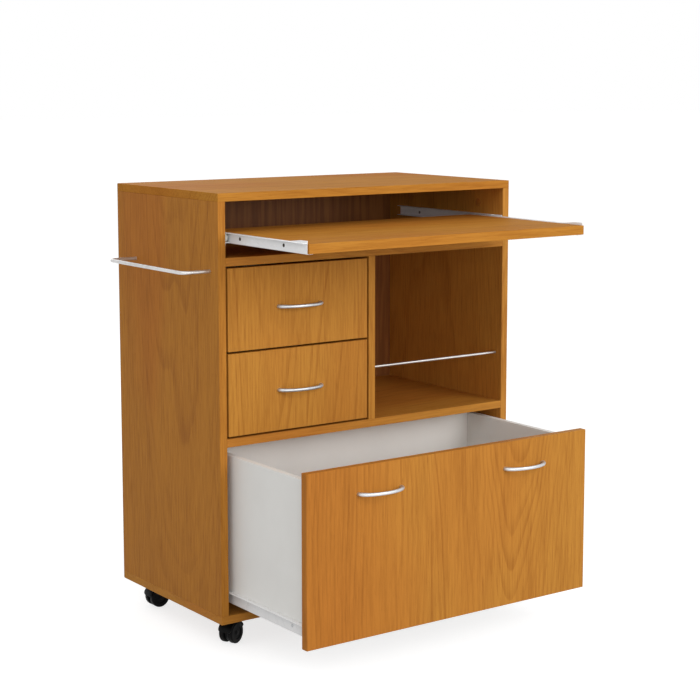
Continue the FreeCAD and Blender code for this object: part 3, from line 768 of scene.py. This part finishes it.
@dataclass(frozen=True)
class CasterHood:
    """A caster's smooth hood: a round-shouldered fender, its web, boss and axle."""

    wheel_r: float = 0.021
    inner_r: float = 0.0228
    outer_r: float = 0.0250
    half_width: float = 0.0155
    shoulder: float = 0.0016
    shoulder_arc: float = 0.3     # share of the shoulder where its arc passes
    start: float = 10.0           # degrees up from the trailing direction
    end: float = 165.0
    tip: float = 16.0             # degrees over which its ends round off
    tip_width: float = 0.62       # share of the width that is left there
    steps: int = 44
    web_r: float = 0.017
    half_web: float = 0.004
    web_steps: int = 72
    web_rise: float = 14.0        # degrees over which the web rises into the fender
    web_overlap: float = 0.0008   # and how far it reaches in
    web_soft: float = 0.0006
    boss_r: float = 0.0085
    boss_top: float = 0.0515
    boss_low: float = 0.0275
    boss_soft: float = 0.0005
    boss_skin: float = 0.0006     # under the hole for the stem
    stem_r: float = 0.00408
    stem_depth: float = 0.0131
    pocket_side: float = 0.0043   # half width of the pocket that clears the stem's end
    pocket_edge: float = 0.0001   # half width of its steep edge
    pocket_reach: float = 0.0062
    pocket_z: float = 0.0383
    pocket_skin: float = 0.0014
    axle_r: float = 0.0025
    axle_head_r: float = 0.0045
    axle_head: float = 0.001
    axle_soft: float = 0.0004
    axle_reach: float = 0.01515

    def fender(self, axle: Vector) -> bmesh.types.BMesh:
        """The fender with rounded shoulders and ends.

        Args:
            axle: The axle's middle in the caster's own directions.

        Returns:
            Its mesh.
        """
        bm = bmesh.new()
        w, s, arc = self.half_width, self.shoulder, self.shoulder_arc * self.shoulder
        rim = [(-w, self.inner_r), (-w, self.outer_r - s), (-w + arc, self.outer_r - arc), (-w + s, self.outer_r)]
        pocket = [(-self.pocket_side - self.pocket_edge, self.outer_r),
                  (-self.pocket_side + self.pocket_edge, self.outer_r)]
        rim += pocket + [(-y, r) for y, r in reversed(rim + pocket)]
        rim += [(-y, self.inner_r) for y, _ in pocket] + [(y, self.inner_r) for y, _ in reversed(pocket)]
        first = math.radians(self.start)
        bm.faces.new([bm.verts.new((r * math.cos(first), y, r * math.sin(first))) for y, r in rim])
        bmesh.ops.spin(bm, geom=bm.verts[:] + bm.edges[:] + bm.faces[:], axis=(0, -1, 0),
                       angle=math.radians(self.end - self.start), steps=self.steps)
        for vert in bm.verts:
            angle = math.degrees(math.atan2(vert.co.z, vert.co.x))
            near = min(angle - self.start, self.end - angle)
            if near < self.tip:
                share = max(0.0, near) / self.tip
                vert.co.y *= self.tip_width + (1 - self.tip_width) * math.sqrt(1 - (1 - share) ** 2)
        middle_r = (self.inner_r + self.outer_r) / 2
        inner = [v for v in bm.verts if math.hypot(v.co.x, v.co.z) < middle_r]
        outer = [v for v in bm.verts if math.hypot(v.co.x, v.co.z) >= middle_r]
        bmesh.ops.translate(bm, verts=bm.verts, vec=axle)
        self.clear_stem(inner, self.pocket_z - self.pocket_skin)
        self.clear_stem(outer, self.pocket_z)
        return bm

    def clear_stem(self, verts: list[bmesh.types.BMVert], highest: float) -> None:
        """Lowers what would reach into the plate's stem.

        Args:
            verts: Vertices in the caster's own directions.
            highest: The highest level under the stem.
        """
        for vert in verts:
            if abs(vert.co.y) < self.pocket_side and vert.co.x < self.pocket_reach:
                vert.co.z = min(vert.co.z, highest)

    def web(self, axle: Vector) -> bmesh.types.BMesh:
        """The web between the wheels, which reaches up into the fender.

        Args:
            axle: The axle's middle in the caster's own directions.

        Returns:
            Its mesh.
        """
        points = []
        reach = self.inner_r + self.web_overlap
        for i in range(self.web_steps):
            angle = 360.0 / self.web_steps * i
            inside = min(angle - self.start, self.end - angle) / self.web_rise
            share = min(1.0, max(0.0, inside))
            radius = self.web_r + (reach - self.web_r) * share * share * (3 - 2 * share)
            lean = math.radians(angle)
            points.append(axle + Vector((radius * math.cos(lean), -self.half_web, radius * math.sin(lean))))
        bm = bmesh.new()
        outline(bm, points, Vector((0, 2 * self.half_web, 0)))
        soften(bm, self.web_soft, RIMS_ONLY)
        self.clear_stem(bm.verts[:], self.pocket_z - self.pocket_skin / 2)
        return bm

    def boss(self, axle: Vector) -> bmesh.types.BMesh:
        """The boss that turns on the plate's stem, its foot fitted to the fender.

        Args:
            axle: The axle's middle in the caster's own directions.

        Returns:
            Its mesh.
        """
        fit_r = (self.inner_r + self.outer_r) / 2
        floor = self.boss_top - self.stem_depth
        hole_r = self.stem_r / math.cos(math.pi / ROUND_STEPS)
        under = floor - self.boss_skin
        profile = [(0.0, under), (self.pocket_side, under), (self.boss_r, 0.0),
                   (self.boss_r, self.boss_top - self.boss_soft), (self.boss_r - self.boss_soft, self.boss_top),
                   (hole_r, self.boss_top), (hole_r, floor), (0.0, floor)]
        bm = bmesh.new()
        corners = [bm.verts.new((r, 0, z)) for r, z in profile]
        line = [bm.edges.new(pair) for pair in zip(corners, corners[1:])]
        bmesh.ops.spin(bm, geom=corners + line, axis=(0, 0, 1), angle=2 * math.pi, steps=ROUND_STEPS,
                       use_merge=True)
        bmesh.ops.remove_doubles(bm, verts=bm.verts, dist=MERGE_WITHIN)
        for vert in bm.verts:
            if vert.co.z < self.boss_low / 2:
                rise = math.sqrt(max(0.0, fit_r ** 2 - (vert.co.x - axle.x) ** 2))
                vert.co.z = max(self.boss_low, axle.z + rise)
        bmesh.ops.recalc_face_normals(bm, faces=bm.faces)
        return bm

    def replace(self, corner: str, shader: Shader) -> bpy.types.Object:
        """Stands for one hood, placed by the frame's own joints.

        Args:
            corner: The caster's corner.
            shader: Its material.

        Returns:
            The new piece.
        """
        body = corner + "_caster"
        swivel, roll = joint_place(corner + "_swivel"), joint_place(corner + "_left_wheel_roll")
        away = Vector((roll.x - swivel.x, roll.y - swivel.y, 0))
        axle = Vector((away.length, 0, self.wheel_r))
        bm = self.fender(axle)
        join(bm, self.web(axle))
        join(bm, self.boss(axle))
        for side in (-1, 1):
            turn = Matrix.Rotation(-side * math.pi / 2, 3, "X")
            for radius, start, length, soft in (
                (self.axle_r, self.half_web, self.axle_reach - self.half_web, 0.0),
                (self.axle_head_r, self.axle_reach - self.axle_head, self.axle_head, self.axle_soft),
            ):
                bar = round_bar(radius, length, soft)
                bmesh.ops.rotate(bar, verts=bar.verts, matrix=turn)
                bmesh.ops.translate(bar, verts=bar.verts, vec=axle + Vector((0, side * start, 0)))
                join(bm, bar)
        bmesh.ops.rotate(bm, verts=bm.verts, matrix=Matrix.Rotation(math.atan2(away.y, away.x), 3, "Z"))
        bmesh.ops.translate(bm, verts=bm.verts, vec=(swivel.x, swivel.y, 0))
        piece = finished(bm, body + "_round_hood")
        shader.put_on(piece)
        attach(piece, body)
        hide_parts(body + "_hood")
        return piece


# ---- sub-assemblies ----
def middle(node: str) -> Vector:
    """The middle of a CAD node at rest."""
    low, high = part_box(node)
    return (low + high) / 2


class Assembly:
    """A named group of CAD nodes that is dressed together."""

    name: str

    def woods(self) -> dict[str, WoodLaminate]:
        """The wooden boards and each one's finish."""
        return {}

    def plains(self) -> dict[str, Shader]:
        """The other nodes and their shared materials."""
        return {}

    def dress(self) -> None:
        """Puts every finish on its node and reports each one."""
        for node, wood in self.woods().items():
            wood.dress(frame["nodes"][node], middle(node))
            log.info("%s: %s dressed in wood", self.name, node)
        for node, shader in self.plains().items():
            shader.put_on(frame["nodes"][node])
            log.info("%s: %s dressed in %s", self.name, node, shader.material.name)


class Palette:
    """The finishes that several assemblies share, each made once."""

    def __init__(self) -> None:
        """Makes the materials."""
        self.white = WHITE_BOARD.make()
        self.enamel = RUNNER_ENAMEL.make()
        self.nickel = SATIN_NICKEL.make()
        self.chrome = CHROMED_ROD.make()
        self.plated = PLATED_STEEL.make()
        self.caster = CASTER_PLASTIC.make()
        self.wheel = WHEEL_PLASTIC.make()
        self.roller = ROLLER_PLASTIC.make()
        self.dark_screw = DARK_SCREW.make()
        self.cap = CAP_PLASTIC.make()


@dataclass
class Cabinet(Assembly):
    """The fixed boards, the back panel, the rails, the cabinet runners and the fixed fasteners."""

    palette: Palette
    name: str = "cabinet"

    def woods(self) -> dict[str, WoodLaminate]:
        """The seven full boards."""
        shelf = Grain.SHELF
        return {
            # the left side panel's light and dark colours are darker than the other boards': painted shade on the
            # side that faces away from the key lamp
            "left_side_panel": WoodLaminate(Grain.SIDE, 0.05, 0.16, 5.0, figure=0.25, seed=1.3,
                                            light=(184, 122, 46), dark=(138, 80, 27), redness=0.5),
            # the right side panel's light colour is paler than the other boards': painted light for the open bay
            # that its inner face lines
            "right_side_panel": WoodLaminate(Grain.SIDE, -0.07, 0.14, -4.0, seed=4.1,
                                            light=(196, 136, 58), redness=0.3),
            "divider": WoodLaminate(Grain.SIDE, 0.02, 0.12, 6.0, figure=0.25, seed=6.7),
            "top_panel": WoodLaminate(shelf, 0.04, 0.15, 3.0, figure=0.25, sheen=0.01, seed=8.2),
            "base_panel": WoodLaminate(shelf, -0.05, 0.13, 3.0, figure=0.25, seed=9.9),
            "middle_shelf": WoodLaminate(shelf, 0.03, 0.14, -3.0, figure=0.25, seed=11.4),
            "worktop_shelf": WoodLaminate(shelf, -0.02, 0.12, 3.0, figure=0.25, seed=12.8),
        }

    def plains(self) -> dict[str, Shader]:
        """Rails, runners, plates and fasteners."""
        p = self.palette
        return {"towel_rail": p.chrome, "gallery_rail": p.chrome, "caster_plates": p.plated,
                "cabinet_runners": p.enamel, "cabinet_fasteners": p.plated}

    def dress(self) -> None:
        """Dresses the boards, and the back panel by its two faces."""
        super().dress()
        back = frame["nodes"]["back_panel"]
        Hardboard().dress(back, middle("back_panel").y)
        log.info("%s: back_panel dressed in hardboard", self.name)
        log.info("%s: %s built", self.name, CamCaps().build(self.palette.cap).name)


@dataclass
class Worktop(Assembly):
    """The pull-out worktop with its runners, rollers and screws."""

    palette: Palette
    name: str = "worktop"

    def woods(self) -> dict[str, WoodLaminate]:
        """The board."""
        return {"worktop_board": WoodLaminate(Grain.SHELF, 0.06, 0.15, 4.0, sheen=0.01, seed=15.1)}

    def plains(self) -> dict[str, Shader]:
        """Screws and rollers."""
        p = self.palette
        return {"worktop_screws": p.dark_screw, "worktop_front_rollers": p.roller, "worktop_rear_rollers": p.roller}

    def dress(self) -> None:
        """Dresses the worktop and gives it its runner members."""
        super().dress()
        members = FoldedMembers(tab_h=0.004, axis_up=0.0109)
        piece = members.replace("worktop_runners", self.name, self.palette.enamel)
        log.info("%s: %s built", self.name, piece.name)


@dataclass
class Drawer(Assembly):
    """A drawer: wooden front, white box, handles, runners, rollers and screws."""

    palette: Palette
    name: str
    front: WoodLaminate
    handle: str
    members: FoldedMembers | None = None      # members of its own instead of the CAD pair

    def woods(self) -> dict[str, WoodLaminate]:
        """The front."""
        return {self.name + "_front": self.front}

    def plains(self) -> dict[str, Shader]:
        """Box, runners, screws and rollers."""
        p = self.palette
        box = {f"{self.name}_{piece}": p.white for piece in ("left_side", "right_side", "back", "bottom")}
        rest = {"screws": p.plated, "front_rollers": p.roller, "rear_rollers": p.roller}
        if not self.members:
            rest["runners"] = p.enamel
        return box | {f"{self.name}_{piece}": shader for piece, shader in rest.items()}

    def dress(self) -> None:
        """Dresses the drawer and gives it its bow handles, and its runner members if it has its own."""
        super().dress()
        pieces = [BowHandle().replace(f"{self.name}_{self.handle}", self.name, self.palette.nickel)]
        if self.members:
            pieces.append(self.members.replace(self.name + "_runners", self.name, self.palette.enamel))
        for piece in pieces:
            log.info("%s: %s built", self.name, piece.name)


@dataclass
class Caster(Assembly):
    """A twin-wheel caster: a hood and two wheels."""

    palette: Palette
    corner: str

    def plains(self) -> dict[str, Shader]:
        """The wheels."""
        return {f"{self.corner}_caster_{side}_wheel": self.palette.wheel for side in ("left", "right")}

    def dress(self) -> None:
        """Dresses the wheels and gives them their hood."""
        super().dress()
        log.info("%s: %s built", self.name, CasterHood().replace(self.corner, self.palette.caster).name)

    @property
    def name(self) -> str:
        """The caster's name in the report."""
        return self.corner + "_caster"


# ---- studio and camera ----
@dataclass(frozen=True)
class Lamp:
    """A square soft lamp."""

    name: str
    place: Triple
    size: float                   # side length
    power: float                  # watts

    def hang(self, aim: Vector) -> None:
        """Hangs the lamp.

        Args:
            aim: What it points at.
        """
        data = bpy.data.lights.new(self.name, "AREA")
        data.size, data.energy = self.size, self.power
        thing = bpy.data.objects.new(self.name, data)
        thing.location = self.place
        thing.rotation_euler = (aim - Vector(self.place)).to_track_quat("-Z", "Y").to_euler()
        bpy.context.scene.collection.objects.link(thing)


@dataclass
class Studio:
    """A white floor that keeps the shadow, a pale world and four soft lamps."""

    floor_half: float = 40.0
    floor_albedo: float = 0.50
    floor_glow: float = 0.74
    world_level: float = 0.62
    aim: Triple = (0, -0.05, 0.45)
    lamps: tuple[Lamp, ...] = (
        Lamp("key", (1.2, -3.7, 2.0), 2.4, 80.0),
        Lamp("fill", (-1.8, -1.1, 2.2), 1.6, 10.0),
        Lamp("low", (-1.5, -3.3, 0.95), 1.4, 21.0),
        Lamp("back", (0.6, 3.4, 1.8), 2.4, 16.0),
    )

    def seen(self, tree: bpy.types.NodeTree) -> Socket:
        """1 for rays from the camera, a mirror or through glass, otherwise 0.

        Args:
            tree: The tree that the nodes go in.

        Returns:
            The level.
        """
        path = tree.nodes.new("ShaderNodeLightPath")
        level = path.outputs["Is Camera Ray"]
        for other in ("Is Glossy Ray", "Is Transmission Ray"):
            add = tree.nodes.new("ShaderNodeMath")
            add.operation, add.use_clamp = "ADD", True
            tree.links.new(level, add.inputs[0])
            tree.links.new(path.outputs[other], add.inputs[1])
            level = add.outputs[0]
        return level

    def floor(self) -> None:
        """Lays the floor."""
        bm = bmesh.new()
        bmesh.ops.create_grid(bm, x_segments=1, y_segments=1, size=self.floor_half)
        mesh = bpy.data.meshes.new("floor")
        bm.to_mesh(mesh)
        bm.free()
        thing = bpy.data.objects.new("floor", mesh)
        bpy.context.scene.collection.objects.link(thing)
        material = bpy.data.materials.new("floor")
        material.use_nodes = True
        tree = material.node_tree
        tree.nodes.remove(tree.nodes["Principled BSDF"])
        matt = tree.nodes.new("ShaderNodeBsdfDiffuse")
        matt.inputs["Color"].default_value = (self.floor_albedo,) * 3 + (1.0,)
        glow = tree.nodes.new("ShaderNodeEmission")
        strength = tree.nodes.new("ShaderNodeMath")
        strength.operation = "MULTIPLY"
        strength.inputs[1].default_value = self.floor_glow
        tree.links.new(self.seen(tree), strength.inputs[0])
        tree.links.new(strength.outputs[0], glow.inputs["Strength"])
        both = tree.nodes.new("ShaderNodeAddShader")
        tree.links.new(matt.outputs[0], both.inputs[0])
        tree.links.new(glow.outputs[0], both.inputs[1])
        tree.links.new(both.outputs[0], tree.nodes["Material Output"].inputs["Surface"])
        mesh.materials.append(material)

    def world(self) -> None:
        """A pale world that is white where it is seen."""
        world = bpy.data.worlds.new("studio")
        bpy.context.scene.world = world
        world.use_nodes = True
        tree = world.node_tree
        back = tree.nodes["Background"]
        back.inputs["Color"].default_value = (1, 1, 1, 1)
        level = tree.nodes.new("ShaderNodeMapRange")
        tree.links.new(self.seen(tree), level.inputs[0])
        level.inputs[3].default_value = self.world_level
        level.inputs[4].default_value = 1.0
        tree.links.new(level.outputs[0], back.inputs["Strength"])

    def build(self) -> None:
        """Floor, world and lamps."""
        self.floor()
        self.world()
        for lamp in self.lamps:
            lamp.hang(Vector(self.aim))
        log.info("studio ready")


@dataclass
class PhotoCamera:
    """The camera that takes the photograph's view."""

    place: Triple = (-1.97365, -2.7690, 1.0954)
    yaw: float = 0.6248           # radians, to the right of straight ahead
    pitch: float = 0.1293         # radians, downwards
    lens: float = 87.70           # millimetres, as is the sensor's width
    sensor: float = 36.0
    shift: tuple[float, float] = (-0.0041, -0.07)
    far: float = 200.0

    def build(self) -> None:
        """Sets up the camera."""
        data = bpy.data.cameras.new("camera")
        data.sensor_width = self.sensor
        data.lens = self.lens
        data.shift_x, data.shift_y = self.shift
        data.clip_end = self.far
        thing = bpy.data.objects.new("camera", data)
        thing.location = self.place
        thing.rotation_euler = (math.pi / 2 - self.pitch, 0, -self.yaw)
        bpy.context.scene.collection.objects.link(thing)
        bpy.context.scene.camera = thing
        log.info("camera ready")


def main() -> None:
    """Builds the cart's looks in order."""
    logging.basicConfig(level=logging.INFO, format="%(name)s: %(message)s")
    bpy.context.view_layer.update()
    bpy.context.scene.view_settings.view_transform = "Standard"
    PhotoCamera().build()
    Studio().build()
    palette = Palette()
    assemblies: list[Assembly] = [
        Cabinet(palette),
        Worktop(palette),
        Drawer(palette, "upper_drawer", UPPER_FRONT, "handle"),
        Drawer(palette, "lower_drawer", LOWER_FRONT, "handle"),
        Drawer(palette, "pot_drawer", POT_FRONT, "handles", FoldedMembers()),
    ]
    assemblies += [Caster(palette, f"{end}_{side}") for end in ("front", "rear") for side in ("left", "right")]
    for assembly in assemblies:
        assembly.dress()


if __name__ == "__main__":
    main()
